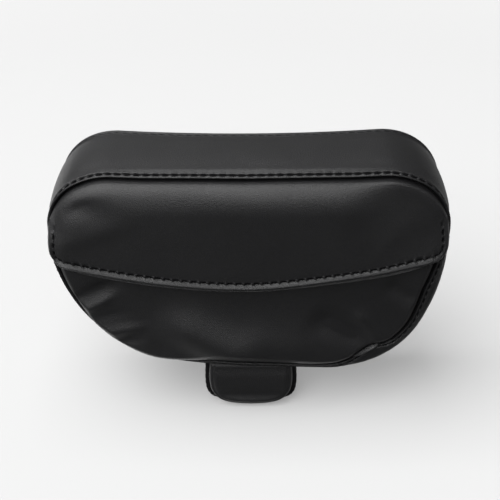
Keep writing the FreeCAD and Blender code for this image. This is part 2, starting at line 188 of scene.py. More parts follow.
class Sock:
    """A shader socket that takes part in Python expressions."""

    def __init__(self, tree, socket):
        self.tree = tree
        self.socket = socket

    def math(self, operation, other, swap=False):
        first, second = (other, self) if swap else (self, other)
        return add_node(self.tree, "Math", {"operation": operation}, {0: first, 1: second})

    def __add__(self, other):
        return self.math("ADD", other)

    __radd__ = __add__

    def __mul__(self, other):
        return self.math("MULTIPLY", other)

    __rmul__ = __mul__

    def __sub__(self, other):
        return self.math("SUBTRACT", other)

    def __rsub__(self, other):
        return self.math("SUBTRACT", other, swap=True)

    def __truediv__(self, other):
        return self.math("DIVIDE", other)

    def __rtruediv__(self, other):
        return self.math("DIVIDE", other, swap=True)

    def __pow__(self, other):
        return self.math("POWER", other)

    def clamp(self):
        return add_node(self.tree, "Clamp", None, {0: self})

    def between(self, low, high):
        """0 below low, 1 above high and a smooth step between."""
        settings = {"interpolation_type": "SMOOTHSTEP"}
        return add_node(self.tree, "MapRange", settings, {0: self, 1: low, 2: high})


def feed(tree, socket, value):
    """Gives a socket a value or a link."""
    if isinstance(value, Sock):
        tree.links.new(value.socket, socket)
    else:
        socket.default_value = value


def add_node(tree, kind, settings, inputs, output=0):
    """Adds a shader node: its settings first, then its inputs as values or links."""
    node = tree.nodes.new("ShaderNode" + kind)
    for key, value in (settings or {}).items():
        setattr(node, key, value)
    for key, value in inputs.items():
        feed(tree, node.inputs[key], value)
    return Sock(tree, node.outputs[output])


class Finish:
    """A material under construction."""

    def __init__(self, name, base=()):
        self.material = bpy.data.materials.new(name)
        self.material.use_nodes = True
        self.base = tuple(base)
        self.tree = self.material.node_tree
        self.shader = self.tree.nodes["Principled BSDF"]
        self.place = add_node(self.tree, "TexCoord", None, {}, "Object")

    def node(self, kind, settings=None, inputs=None, output=0):
        return add_node(self.tree, kind, settings, inputs or {}, output)

    def noise(self, scale, detail=2.0, rough=0.5, place=None, output=0):
        inputs = {"Vector": place or self.place, "Scale": scale, "Detail": detail, "Roughness": rough}
        return self.node("TexNoise", None, inputs, output)

    def cells(self, scale, place=None):
        return self.node("TexVoronoi", None, {"Vector": place or self.place, "Scale": scale}, "Distance")

    def waves(self, direction, scale, distortion):
        inputs = {"Vector": self.place, "Scale": scale, "Distortion": distortion}
        return self.node("TexWave", {"bands_direction": direction}, inputs)

    def vector(self, operation, first, second, output=0):
        return self.node("VectorMath", {"operation": operation}, {0: first, 1: second}, output)

    def shade(self, mask, low, high):
        """The base colour, times low where the mask is 0 and high where it is 1."""
        ends = [(*(channel * factor for channel in self.base), 1) for factor in (low, high)]
        return self.node("Mix", {"data_type": "RGBA"}, {0: mask, 6: ends[0], 7: ends[1]}, 2)

    def grey(self, value):
        """A colour of one brightness."""
        return self.node("CombineColor", None, {0: value, 1: value, 2: value})

    def bump(self, height, strong, distance):
        return self.node("Bump", None, {"Strength": strong, "Distance": distance, "Height": height})

    def set(self, **values):
        """Feeds the main shader; underscores stand for spaces."""
        for key, value in values.items():
            feed(self.tree, self.shader.inputs[key.replace("_", " ")], value)
        return self.material


def vinyl_finish():
    """Fine pebbled vinyl: bent pebbles, finer pores and a shine that changes broadly."""
    f = Finish("grained_vinyl", colours().vinyl)
    bend = {0: f.noise(420, output="Color"), 1: (0.0006,) * 3, 2: f.place}
    pebbles = f.cells(1400, f.node("VectorMath", {"operation": "MULTIPLY_ADD"}, bend))
    pores = f.cells(3400)
    cloud = f.noise(16, 3.0)
    return f.set(
        Base_Color=f.shade(pebbles.between(0.1, 0.75), 1.2, 0.7),
        Roughness=0.38 + cloud.between(0.35, 0.7) * 0.07 + pebbles * 0.08,
        Specular_IOR_Level=0.14,
        Normal=f.bump(pebbles * 0.8 + pores * 0.25, 0.8, 0.00028),
    )


def thread_finish():
    """Bonded thread: fine twisted plies with a dull shine."""
    f = Finish("sewing_thread", colours().thread)
    plies = f.waves("DIAGONAL", 900, 1.5)
    fuzz = f.noise(3500, 3.0)
    return f.set(
        Base_Color=f.shade(plies, 0.6, 1.7),
        Roughness=0.7 + fuzz * 0.2,
        Specular_IOR_Level=0.02,
        Normal=f.bump(plies + fuzz * 0.5, 0.4, 0.00015),
    )


def cloth_finish(name, base, pitch, specular):
    """Plain weave: two crossed sets of yarns and loose fibres."""
    f = Finish(name, base)
    fuzz = f.noise(2400, 3.0)
    yarn = f.waves("X", pitch, 0.6) * f.waves("Z", pitch, 0.6) + fuzz * 0.4
    return f.set(
        Base_Color=f.shade(yarn.clamp(), 0.5, 1.9),
        Roughness=0.75 + fuzz * 0.15,
        Specular_IOR_Level=specular,
        Normal=f.bump(yarn, 0.6, 0.0003),
    )


def foam_finish():
    """Open-cell foam with small pores."""
    f = Finish("upholstery_foam", colours().foam)
    pores = f.cells(900)
    blotch = f.noise(30, 3.0)
    return f.set(
        Base_Color=f.shade(pores.between(0.05, 0.6) * 0.7 + blotch * 0.3, 0.7, 1.05),
        Roughness=0.92,
        Specular_IOR_Level=0.15,
        Normal=f.bump(pores, 0.7, 0.0005),
    )


def plywood_finish():
    """Birch face veneer with long grain."""
    f = Finish("birch_plywood", colours().plywood)
    stretched = f.node("Mapping", None, {"Vector": f.place, "Scale": (9, 400, 160)})
    grain = f.noise(1.0, 6.0, 0.6, stretched)
    return f.set(
        Base_Color=f.shade(grain.between(0.3, 0.7), 0.75, 1.1),
        Roughness=0.62 + grain * 0.15,
        Normal=f.bump(grain, 0.2, 0.0003),
    )


def powder_coat_finish():
    """Black powder coat with a light orange peel."""
    f = Finish("black_powder_coat", colours().steel)
    scuff = f.noise(120, 5.0, 0.7)
    return f.set(
        Base_Color=f.shade(scuff.between(0.55, 0.75), 1, 1.6),
        Roughness=0.38 + scuff * 0.15,
        Normal=f.bump(f.noise(900), 0.15, 0.0003),
    )


def zinc_finish():
    """Bright zinc plate with fine turning marks."""
    f = Finish("bright_zinc", colours().zinc)
    haze = f.noise(220, 4.0)
    return f.set(
        Base_Color=f.shade(haze, 0.8, 1),
        Metallic=1.0,
        Roughness=0.28 + haze * 0.2,
        Normal=f.bump(f.noise(1400, 3.0), 0.12, 0.0001),
    )


FINISHES = {}


def finish(name):
    """Each finish is made once and shared."""
    makers = {
        "black_vinyl": vinyl_finish,
        "thread": thread_finish,
        "woven_tape": lambda: cloth_finish("woven_tape", colours().tape, 700, 0.06),
        "lining_cloth": lambda: cloth_finish("lining_cloth", colours().lining, 900, 0.15),
        "foam": foam_finish,
        "plywood": plywood_finish,
        "black_steel": powder_coat_finish,
        "zinc_steel": zinc_finish,
    }
    if name not in FINISHES:
        FINISHES[name] = makers[name]()
    return FINISHES[name]


# Meshes


def link(name, data):
    """A new object in the scene."""
    thing = bpy.data.objects.new(name, data)
    bpy.context.scene.collection.objects.link(thing)
    return thing


def smooth_mesh(name, points, faces, material):
    """A smooth-shaded mesh in metres."""
    mesh = bpy.data.meshes.new(name)
    mesh.from_pydata(points.tolist(), [], faces)
    mesh.shade_smooth()
    mesh.materials.append(material)
    return mesh


def add_piece(name, points, faces, slot, node=None, fill=None, look=None):
    """A piece on the one body, in its slot's finish or another look; it may replace a node. Its fill is not
    used.
    """
    piece = link(name, smooth_mesh(name, points * MM, faces, finish(look or slot)))
    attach(piece, "root")
    if node:
        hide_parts(node)
    return piece


def quads(rows, columns, wrap, start=0, flip=False):
    """Faces of a grid of points, row by row."""
    r, c = np.meshgrid(np.arange(rows - 1), np.arange(columns if wrap else columns - 1), indexing="ij")
    d = (c + 1) % columns
    corners = [r * columns + c, r * columns + d, (r + 1) * columns + d, (r + 1) * columns + c]
    faces = np.stack(corners[::-1] if flip else corners, -1).reshape(-1, 4) + start
    return faces.tolist()


def unit(vectors):
    """The vectors, each of length 1."""
    return vectors / np.maximum(np.linalg.norm(vectors, axis=-1, keepdims=True), 1e-12)


def skin(name, grid, thickness, inward, slot, wrap=False, **options):
    """A piece that is a closed skin: the grid, the same grid set back by the thickness, and its rim."""
    rows, columns = grid.shape[:2]
    across = (np.roll(grid, -1, 1) - np.roll(grid, 1, 1)) / 2 if wrap else np.gradient(grid, axis=1)
    normal = unit(np.cross(np.gradient(grid, axis=0), across))
    if np.mean(np.sum(normal * inward, -1)) > 0:
        normal = -normal
    points = np.vstack([grid.reshape(-1, 3), (grid - normal * thickness).reshape(-1, 3)])
    count = rows * columns
    faces = quads(rows, columns, wrap) + quads(rows, columns, wrap, count, True)
    index = np.arange(count).reshape(rows, columns)
    rims = [index[0][::-1], index[-1]]
    if not wrap:
        rims += [index[:, 0], index[::-1, -1]]
    for rim in rims:
        ends = np.roll(rim, -1) if wrap else rim[1:]
        starts = rim if wrap else rim[:-1]
        faces += np.stack([starts, starts + count, ends + count, ends], -1).tolist()
    return add_piece(name, points, faces, slot, **options)


def vinyl_skin(node, grid, inward, fill, wrap=False):
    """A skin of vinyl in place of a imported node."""
    skin(node + "_vinyl", grid, sizes().vinyl, inward, "black_vinyl", wrap, node=node, fill=fill)


def packed_mesh(node):
    """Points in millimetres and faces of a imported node."""
    source = frame["nodes"][node].data
    return np.array([v.co for v in source.vertices]) / MM, [list(p.vertices) for p in source.polygons]


def upright(flat, y):
    """Places in the plane of the pad, moved to y."""
    return np.stack([flat[..., 0], np.broadcast_to(y, flat.shape[:-1]), flat[..., 1]], -1)


def smooth(low, high, x):
    """0 below low, 1 above high and a smooth step between."""
    t = np.clip((x - low) / (high - low), 0, 1)
    return t * t * (3 - 2 * t)


def hump(x, centre, width):
    """A bell of height 1."""
    return np.exp(-(((x - centre) / width) ** 2))


def trench(distance, width):
    """1 in a narrow cut with steep walls, 0 outside it."""
    return np.exp(-((distance / width) ** 4))


def quarter_round(distance, radius):
    """From 0 at an edge to 1 at a radius away, as a quarter circle."""
    t = np.clip(1 - distance / radius, 0, 1)
    return np.sqrt(1 - t * t)


def walked(points):
    """How far along a line each of its points lies."""
    return np.r_[0, np.cumsum(np.linalg.norm(np.diff(points, axis=0), axis=1))]


def nearest_on(points, line):
    """Shortest distance from each point to a line, and how far along the line that is."""
    start = walked(line)
    span = np.diff(line, axis=0)
    reach = np.maximum(np.diff(start), 1e-6)
    best = np.full(len(points), np.inf)
    along = np.zeros(len(points))
    for i, corner in enumerate(line[:-1]):
        t = np.clip((points - corner) @ span[i] / reach[i] ** 2, 0, 1)
        away = np.linalg.norm(points - corner - t[:, None] * span[i], axis=1)
        closer = away < best
        best[closer] = away[closer]
        along[closer] = start[i] + t[closer] * reach[i]
    return best, along


def distance_to(points, line):
    """Distance to a line, in the shape of the points' grid."""
    return nearest_on(points.reshape(-1, 2), line)[0].reshape(points.shape[:-1])


def polyline(points):
    """A function that walks a line by the fraction of its length."""
    step = walked(points)
    step = step / step[-1]

    def walk(fraction):
        return np.stack([np.interp(fraction, step, column) for column in points.T], -1)

    return walk


def coons(top, bottom, left, right, u, v):
    """A grid spanned between four lines, at fractions u across and v down."""
    t, b = (polyline(line)(u)[None] for line in (top, bottom))
    l, r = (polyline(line)(v)[:, None] for line in (left, right))
    uu, vv = u[None, :, None], v[:, None, None]
    corners = (1 - uu) * (1 - vv) * t[:, :1] + uu * (1 - vv) * t[:, -1:]
    corners = corners + (1 - uu) * vv * b[:, :1] + uu * vv * b[:, -1:]
    return (1 - vv) * t + vv * b + (1 - uu) * l + uu * r - corners


def spaced(total, *zones):
    """Fractions of a length by zones of (end, step); ends below 0 count from the far end, which None is."""
    places = [0.0]
    for end, step in zones:
        end = total if end is None else total + end if end < 0 else end
        count = max(1, round((end - places[-1]) / step))
        places += list(np.linspace(places[-1], end, count + 1)[1:])
    return np.array(places) / total


# Outline of the pad


class PadOutline:
    """The pad's outline seen from behind, walked clockwise from the middle of the top."""

    def __init__(self):
        s = sizes()
        shoulder = PAD_TOP - s.shoulder_height
        hip = shoulder - s.side_straight
        low_height = hip - PAD_BOTTOM
        side = low_height + s.side_bow
        top_reach = math.sqrt(
            (s.top_radius - s.shoulder_radius) ** 2 - (s.top_radius - s.shoulder_height) ** 2
        )
        low_reach = math.sqrt((side - s.lower_radius) ** 2 - (low_height - s.lower_radius) ** 2)
        shoulder_centre = np.array([HALF_WIDTH - s.shoulder_radius, shoulder])
        top_centre = np.array([shoulder_centre[0] - top_reach, PAD_TOP - s.top_radius])
        side_centre = np.array([HALF_WIDTH - side, hip])
        low_centre = np.array([side_centre[0] + low_reach, PAD_BOTTOM + s.lower_radius])
        high_turn = math.atan2(*(shoulder_centre - top_centre)[::-1])
        low_turn = math.atan2(*(low_centre - side_centre)[::-1])
        half = np.vstack([
            self.straight((0, PAD_TOP), (top_centre[0], PAD_TOP), (0, 1)),
            self.bend(top_centre, s.top_radius, math.pi / 2, high_turn),
            self.bend(shoulder_centre, s.shoulder_radius, high_turn, 0),
            self.straight((HALF_WIDTH, shoulder), (HALF_WIDTH, hip), (1, 0)),
            self.bend(side_centre, side, 0, low_turn),
            self.bend(low_centre, s.lower_radius, low_turn, -math.pi / 2),
            self.straight((low_centre[0], PAD_BOTTOM), (0, PAD_BOTTOM), (0, -1)),
        ])
        self.whole = np.vstack([half, half[::-1] * (-1, 1, -1, 1)])
        step = walked(self.whole[:, :2])
        self.length = step[-1]
        self.step = step / step[-1]

    @staticmethod
    def straight(start, end, normal):
        t = np.linspace(0, 1, 30)[:, None]
        points = np.array(start) * (1 - t) + np.array(end) * t
        return np.hstack([points, np.tile(normal, (30, 1))])

    @staticmethod
    def bend(centre, radius, start, end):
        a = np.linspace(start, end, 90)
        normal = np.stack([np.cos(a), np.sin(a)], -1)
        return np.hstack([centre + radius * normal, normal])

    def at(self, fraction):
        """Points and outward normals at fractions of the way round."""
        f = np.mod(fraction, 1.0)
        out = np.stack([np.interp(f, self.step, column) for column in self.whole.T], -1)
        return out[..., :2], unit(out[..., 2:])

    def fraction_at_bearing(self, bearing):
        """How far round a bearing about the pad's middle lies; 0 is up and 90 is right."""
        bearings = bearing_of(self.whole[:, :2])
        bearings[-1] = 360.0
        return np.interp(bearing, bearings, self.step)


def bearing_of(points):
    """Bearing of points about the pad's middle in degrees, 0 up and clockwise."""
    return np.mod(np.degrees(np.arctan2(points[..., 0], points[..., 1] - PAD_MIDDLE)) + 1e-9, 360)


def around(pairs, blur):
    """A smooth function of bearing through (bearing, value) pairs, blurred by some degrees."""
    step, reach = 0.25, 40
    fine = np.arange(0, 360, step)
    values = np.interp(fine, *np.transpose(pairs), period=360)
    kernel = hump(np.arange(-reach, reach + 1) * step, 0, blur)
    rolled = np.convolve(np.r_[values[-reach:], values, values[:reach]], kernel / kernel.sum(), "valid")

    def value(bearing):
        return np.interp(bearing, fine, rolled, period=360)

    return value


# Bearing and how far inside the outline the rear seam lies there: the cover sits a little twisted, so the
# seam shows on the face at the lower right, with one pucker, and is tucked under at the lower left
SEAM_INSET = around([
    (0, 8.4), (40, 7.6), (55, 5.8), (64, 3.4), (71, 1.2), (77, 3.4), (84, 9.4), (90, 11.2), (96, 13.0),
    (102, 12.2), (108, 11.2), (113, 11.4), (119, 12.0), (122, 13.4), (125.5, 17.4), (128.5, 17.4),
    (132.5, 15.0), (137, 10.4), (142, 7.8), (150, 6.4), (180, 7.2), (200, 6.6), (212, 3.4), (222, 1.2),
    (250, 1.2), (262, 3.4), (274, 4.4), (282, 2.5), (289, 1.2), (296, 3.4), (305, 5.8), (320, 7.6),
], 1.2)
# How far the outline itself is drawn in at the back, low on the left, and let out, low on the right
TUCK = around([
    (60, 0), (70, 1.6), (80, 0), (92, 0), (103, -0.6), (112, -1.6), (120, -2.2), (130, -2.1), (140, -0.8),
    (150, 0), (165, 0.8), (185, 1.8), (205, 5.2), (220, 9.8), (235, 12.0), (246, 11.0), (257, 7.8),
    (266, 4.0), (275, 0.8), (281, 0.2), (290, 1.6), (300, 0),
], 3.0)
# How far the band alone is drawn in under the pouch, low on the left
UNDER = around([(204, 0), (216, 2.6), (242, 2.6), (251, 0)], 2.0)
# Depths from the rear face where the drawing in starts to fade and is gone
TUCK_FULL, TUCK_GONE = 3, 28
# Radius of the band's rounded edge: a share of the seam's inset, up to a limit
EDGE_SHARE, EDGE_LIMIT = 0.85, 5.6
SEAM_DEPTH = 4.0
FRONT_INSET = 2.0


def fading(depth):
    """Share of the drawing in that is left at a depth from the rear face."""
    return 1 - smooth(TUCK_FULL, TUCK_GONE, depth)


def dish(x):
    """How far forward the dished front stands at x."""
    depth = sizes().dish_depth
    radius = (HALF_WIDTH**2 + depth**2) / (2 * depth)
    return radius - np.sqrt(radius**2 - np.asarray(x) ** 2)


def front_face():
    """Y of the front's middle, found from the sides, which stand forward by the dish."""
    return FRONT_SIDES - float(dish(HALF_WIDTH - sizes().front_roll))


def tucked(outline, fraction, depth):
    """Outline points, drawn in by their depth from the rear face, with normals and bearings."""
    points, normals = outline.at(fraction)
    bearing = bearing_of(points)
    return points - normals * (TUCK(bearing) * fading(depth))[..., None], normals, bearing


def bridge(along, run, roll):
    """1 where the skin bridges a row of stitches, at a slant, between one stitch and the next."""
    pitch = sizes().stitch_pitch
    phase = np.mod((along + 0.5 * (run - roll)) / pitch, 1.0)
    return hump(np.minimum(phase, 1 - phase) * pitch, 0, 1.0)


def welt(along, run, roll, groove_depth):
    """Rise of the skin beside a seam: it dives in, rolls over the folded edge and dips at the stitches."""
    over = bridge(along, run, roll)
    fall = -SEAM_DEPTH * trench(run, 2.2)
    bead = 0.9 * hump(run, 0.55 * roll, 0.24 * roll)
    groove = -groove_depth * (1 - over) * hump(run, roll, 0.7)
    lip = 0.6 * hump(run, roll + 1.5 - 0.6 * over, 0.9)
    knot = 0.3 * over * hump(run, roll, 0.9)
    return fall + bead + groove + lip + knot


def edge_path(run, inset):
    """Section of the band's rounded edge by the run from its seam: outward place, depth and normal."""
    radius = np.minimum(EDGE_SHARE * inset, EDGE_LIMIT)
    flat = inset - radius
    turn = np.clip((run - flat) / radius, 0, math.pi / 2)
    out = np.where(run < flat, run - inset, radius * (np.sin(turn) - 1))
    depth = radius * (1 - np.cos(turn)) + np.maximum(run - flat - radius * math.pi / 2, 0)
    return out, depth, np.sin(turn), np.cos(turn)


def band_undulation(fraction, depth):
    """Slow waves of the band over its foam."""
    a = 2 * math.pi * fraction
    wave = np.sin(7 * a + 0.06 * depth) + 0.7 * np.sin(12 * a + 1.3 - 0.09 * depth)
    return 0.22 * (wave + 0.5 * np.sin(19 * a + 0.4))


def band_points(outline, fraction, run, side):
    """Skin of the band by the run from its rear seam (side -1) or front seam (side 1), with normals."""
    s = sizes()
    points, _ = outline.at(fraction)
    bearing = bearing_of(points)
    if side < 0:
        inset, roll, groove = SEAM_INSET(bearing), s.seam_roll, 1.1
    else:
        inset, roll, groove = np.full(np.shape(bearing), FRONT_INSET), s.front_stitch, 0.6
    out, depth, lean_out, lean_end = edge_path(run, inset)
    whole = front_face() - s.front_roll + dish(points[..., 0]) - REAR_FACE
    from_rear = depth if side < 0 else whole - depth
    along = fraction * round(outline.length / s.stitch_pitch) * s.stitch_pitch
    swell = np.clip(4 * from_rear / whole * (1 - from_rear / whole), 0, 1) * smooth(0, 18, depth)
    rise = welt(along, run, roll, groove) + s.band_bulge * swell
    rise = rise + band_undulation(fraction, from_rear) * smooth(4, 20, depth)
    base, normals, _ = tucked(outline, fraction, from_rear)
    flat = base + normals * (out + rise * lean_out - UNDER(bearing) * fading(from_rear))[..., None]
    normal = upright(normals * lean_out[..., None], side * lean_end)
    return upright(flat, REAR_FACE + from_rear + side * rise * lean_end), normal


# Runs of the band's rows from either seam, and the number of its columns
BAND_RUNS = (*np.arange(0, 1.6, 0.3), *np.arange(1.8, 8.2, 0.4), 8.7, 9.5, 10.5, 12, 14, 17, 20)
BAND_COLUMNS = 760


def build_band(outline):
    """The boxing band as one ring: dense rows beside both seams and wide rows between."""
    fraction = np.arange(BAND_COLUMNS) / BAND_COLUMNS
    runs = [np.full(BAND_COLUMNS, run) for run in BAND_RUNS]
    rear, front = ([band_points(outline, fraction, run, side)[0] for run in runs] for side in (-1, 1))
    outward = upright(outline.at(fraction)[1], 0)
    middle = []
    for t in np.linspace(0, 1, 8)[1:-1]:
        swell = 0.35 * sizes().band_bulge * 4 * t * (1 - t)
        middle.append(rear[-1] * (1 - t) + front[-1] * t + outward * swell)
    grid = np.stack([*rear, *middle, *front[::-1]])
    inward = np.array([0, 0, PAD_MIDDLE]) - grid
    vinyl_skin("boxing_band", grid, inward, 0.85, True)


# Stitching


def stitch_tube(path, normal, radius):
    """One stitch: a thread that rises from one needle hole and dips into the next."""
    count, sides = len(path), 8
    ahead = unit(np.gradient(path, axis=0))
    side = unit(np.cross(ahead, normal))
    up = np.cross(side, ahead)
    turn = np.linspace(0, 2 * math.pi, sides, endpoint=False)[None, :, None]
    taper = 0.55 + 0.45 * np.sin(np.linspace(0.15, math.pi - 0.15, count))
    ring = np.cos(turn) * side[:, None] + np.sin(turn) * up[:, None]
    points = path[:, None] + ring * (radius * taper)[:, None, None]
    ends = [list(range(sides))[::-1], list(range((count - 1) * sides, count * sides))]
    return points.reshape(-1, 3), quads(count, sides, True) + ends


def stitch_row(name, surface, total, start=0.0, slant=0.55):
    """A row of stitches: surface(along, offset) gives points and normals on the skin along the row."""
    s = sizes()
    count = round(total / s.stitch_pitch)
    pitch = total / count
    points, faces, base = [], [], 0
    t = np.linspace(0, 1, 9)
    for i in range(count):
        path, normal = surface(start + (i + 0.12 + 0.76 * t) * pitch, slant * (2 * t - 1))
        lift = s.thread * (0.95 * np.sin(math.pi * t) ** 0.6 - 0.35)
        p, f = stitch_tube(path + normal * lift[:, None], normal, s.thread / 2)
        points.append(p)
        faces += [[k + base for k in face] for face in f]
        base += len(p)
    add_piece(name, np.vstack(points), faces, "black_vinyl", look="thread")


def band_stitches(outline, side, name):
    """Topstitching of the band beside its rear or front seam."""
    roll = sizes().seam_roll if side < 0 else sizes().front_stitch

    def surface(along, offset):
        return band_points(outline, along / outline.length, roll + offset, side)

    stitch_row(name, surface, outline.length)


# Panels on the rear face


def rear_seam(outline, start, end, extra, count=400):
    """Points of the rear seam between two bearings, clockwise, set further in by extra."""
    end = end + 360 if end < start else end
    fraction = outline.fraction_at_bearing(np.mod(np.linspace(start, end, count), 360))
    base, normals, bearing = tucked(outline, fraction, np.zeros(count))
    return base - normals * (SEAM_INSET(bearing) + extra)[:, None]


def height_normal(height, points, reach=0.25):
    """Outward normals of a height above the rear face at places in its plane."""
    dx = (height(points + (reach, 0)) - height(points - (reach, 0))) / (2 * reach)
    dz = (height(points + (0, reach)) - height(points - (0, reach))) / (2 * reach)
    return unit(np.stack([-dx, -np.ones(len(points)), -dz], -1))


def on_rear(points, height):
    """Places in the rear plane lifted by a height to the back."""
    return upright(points, REAR_FACE - height)


def tape_strip(node, height, lift):
    """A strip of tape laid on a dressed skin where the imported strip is."""
    low, high = box_mm(node)
    flat = np.stack(np.meshgrid(np.linspace(low.x, high.x, 70), np.linspace(low.z, high.z, 14)), -1)
    skin(node + "_tape", on_rear(flat, height(flat) + lift), TAPE, TO_FRONT, "woven_tape", node=node)


# Thicknesses of the tape and the lining, and how far the layers lie behind the flap's skin
TAPE, LINING = 1.1, 0.9
LINING_BACK = 2.3
HOOK_BACK = LINING_BACK + LINING
LOOP_BACK = HOOK_BACK + TAPE
# Bearings of the flap's ends, the hem's corner radius, and where its stitches start
FLAP_ENDS = (290.0, 70.0)
HEM_CORNER = 9
HEM_START = 7
HEM_EXTRA = 0.5
SIDE_BOW = 1.4


def round_corner(before, after, radius):
    """Rounds the corner where two lines meet, and parts them again in the middle of the bend."""
    start = before[np.linalg.norm(before - before[-1], axis=1) > radius]
    end = after[np.linalg.norm(after - after[0], axis=1) > radius]
    t = np.linspace(0, 1, 13)[:, None]
    bend = (1 - t) ** 2 * start[-1] + 2 * t * (1 - t) * before[-1] + t * t * end[0]
    return np.vstack([start, bend[1:7]]), np.vstack([bend[6:12], end])


class Flap:
    """The pouch flap: puffed out of its seam, rounded at the free sides, with a rolled, topstitched hem."""

    def __init__(self, outline):
        pitch = sizes().stitch_pitch
        self.roll = sizes().seam_roll + HEM_EXTRA
        self.seam = rear_seam(outline, *FLAP_ENDS, -0.5)
        right = self.side(self.seam[-1], 1)
        left = self.side(self.seam[0], -1)
        self.left, hem = round_corner(left, self.hem_line(left[-1], right[-1]), HEM_CORNER)
        self.right, hem = round_corner(right, hem[::-1], HEM_CORNER)
        self.hem = hem[::-1]
        self.free = np.vstack([self.left[:-1], self.hem, self.right[::-1][1:]])
        self.free_length = walked(self.free)[-1]
        self.sewn = self.free_length - 2 * HEM_START
        self.stitch_share = round(self.sewn / pitch) * pitch / self.sewn

    @staticmethod
    def side(start, sign):
        """A free side edge from the end of the seam down to the hem's corner."""
        t = np.linspace(0, 1, 60)[:, None]
        corner = np.array([sign * (HALF_WIDTH - SIDE_BOW), PAD_TOP - sizes().hem_drop_side])
        line = start * (1 - t) + corner * t
        line[:, 0] += np.sin(math.pi * t[:, 0]) * SIDE_BOW * sign
        return line

    @staticmethod
    def hem_line(left, right):
        """The hem's bowed edge between its two corners, bowed otherwise on each side."""
        low = PAD_TOP - sizes().hem_drop_middle
        t = np.linspace(-1, 1, 240)
        power = np.where(t < 0, 0.875, 0.62)
        share = ((t * t + 0.02) ** power - 0.02**power) / (1.02**power - 0.02**power)
        x = left[0] + (right[0] - left[0]) * (t + 1) / 2
        return np.stack([x, left[1] - (1 - share) * (left[1] - low)], -1)

    def body(self, points):
        """Height of the flap above the rear face, without its hem."""
        x, z = points[..., 0], points[..., 1]
        from_seam = distance_to(points, self.seam)
        from_side = np.minimum(distance_to(points, self.left), distance_to(points, self.right))
        round_side = 0.3 + 0.7 * quarter_round(from_side, 14)
        full = quarter_round(from_seam, 23)
        flat_end = 0.25 * quarter_round(from_seam, 4) + 0.75 * smooth(-20, 75, from_seam)
        round_top = full + (flat_end - full) * smooth(66, 116, x) * smooth(0, 3, from_seam)
        puff = sizes().flap_puff * round_top * round_side
        sewn_down = SEAM_DEPTH * trench(from_seam, 0.45)
        return 0.2 + puff - sewn_down + self.slack(x, z) * smooth(1, 12, from_seam)

    def height(self, points):
        """Height of the flap's skin above the rear face."""
        sewn = smooth(2, 9, distance_to(points, self.seam))
        hem = self.hem_rise(*nearest_on(points.reshape(-1, 2), self.free)).reshape(points.shape[:-1])
        return self.body(points) + sewn * hem

    def hem_rise(self, from_free, along):
        """The rolled hem, flatter to the right: out of the stitches' groove to a bead, then under."""
        roll = self.roll
        over = bridge((along - HEM_START) * self.stitch_share, from_free, roll)
        full = smooth(0, 24, np.minimum(along, self.free_length - along))
        full = full * (1 - 0.6 * smooth(0.5, 0.85, along / self.free_length))
        bead = 2.2 * (0.3 + 0.7 * full) * (1 - smooth(1.6, roll - 0.2, from_free))
        edge = -3.4 * (1 - quarter_round(from_free, 2.2))
        groove = -1.4 * (1 - over) * hump(from_free, roll, 0.8)
        knot = over * hump(from_free, roll + 0.3, 0.9)
        return bead + edge + groove + knot

    @staticmethod
    def slack(x, z):
        """Soft hollows and ridges of the vinyl at the left shoulder, and faint waves all over."""
        dent = -2.8 * hump(x, -121, 20) * hump(z, 180, 9)
        ridge = 1.2 * hump(z - 170 - 0.33 * (x + 116), -11, 8) * hump(x, -114, 28)
        wave = 0.35 * np.sin(x / 31 + 0.6) * np.sin(z / 23)
        return dent + ridge + wave

    def build(self):
        """The vinyl."""
        u = spaced(340, (12, 0.5), (-12, 0.8), (None, 0.5))
        v = spaced(85, (1, 0.2), (4, 0.6), (30, 1.6), (-10, 2.6), (None, 0.4))
        flat = coons(self.seam, self.hem, self.left, self.right, u, v)
        grid = on_rear(flat, self.height(flat))
        vinyl_skin("pouch_flap", grid, TO_FRONT, 0.5)

    def lining(self):
        """The inner layer, which shows below the hem as a thin edge."""
        reach = 2.6
        t = np.linspace(-1, 1, len(self.hem))[:, None]
        low = self.hem - np.array([0, reach]) * (1 - t**8) + np.array([reach, 0]) * -np.sign(t) * t**8
        u = spaced(400, (None, 2))
        v = spaced(85, (-12, 4), (None, 0.7))
        flat = coons(self.seam, low, self.left, self.right, u, v)
        below = flat[..., 1] < np.interp(flat[..., 0], self.hem[:, 0], self.hem[:, 1])
        curl = 0.9 * smooth(0.8, 2.2, distance_to(flat, self.hem)) * below
        grid = on_rear(flat, self.body(flat) - LINING_BACK + curl)
        look = {"node": "flap_lining", "look": "black_vinyl"}
        piece = skin("flap_lining_cloth", grid, LINING, TO_FRONT, "lining_cloth", **look)

    def stitches(self):
        """Topstitching along the free sides and the hem."""
        walk = polyline(self.free)

        def surface(along, offset):
            ahead = unit(walk((along + 1) / self.free_length) - walk((along - 1) / self.free_length))
            inward = np.stack([-ahead[:, 1], ahead[:, 0]], -1)
            places = walk(along / self.free_length) + inward * (self.roll + offset)[:, None]
            return on_rear(places, self.height(places)), height_normal(self.height, places)

        stitch_row("flap_stitches", surface, self.sewn, HEM_START)


# Bearings of the pouch's lower corners, and how far in its edge is rolled, as a share of its puff
POUCH_CORNERS = (126.0, 234.0)
ROLL_REACH = 1.08
# Drag lines of the pouch: start, end, width and rise
POUCH_FOLDS = (
    ((-136, 80), (-106, 98), 3.4, 2.2),
    ((-136, 95), (-100, 112), 6.5, -3.2),
    ((-132, 74), (-96, 84), 5.0, -1.2),
    ((-122, 62), (-84, 70), 5.0, 2.3),
    ((-112, 53), (-86, 58), 4.6, -1.7),
    ((-60, 74), (6, 38), 16.0, 5.6),
    ((-74, 52), (-36, 36), 10.0, -1.4),
    ((0, 62), (46, 42), 14.0, 1.6),
    ((54, 76), (94, 54), 12.0, -3.6),
    ((84, 80), (103, 52), 7.0, 2.0),
    ((108, 108), (130, 92), 8.0, -2.4),
)
DEEPEST_FOLD = -3
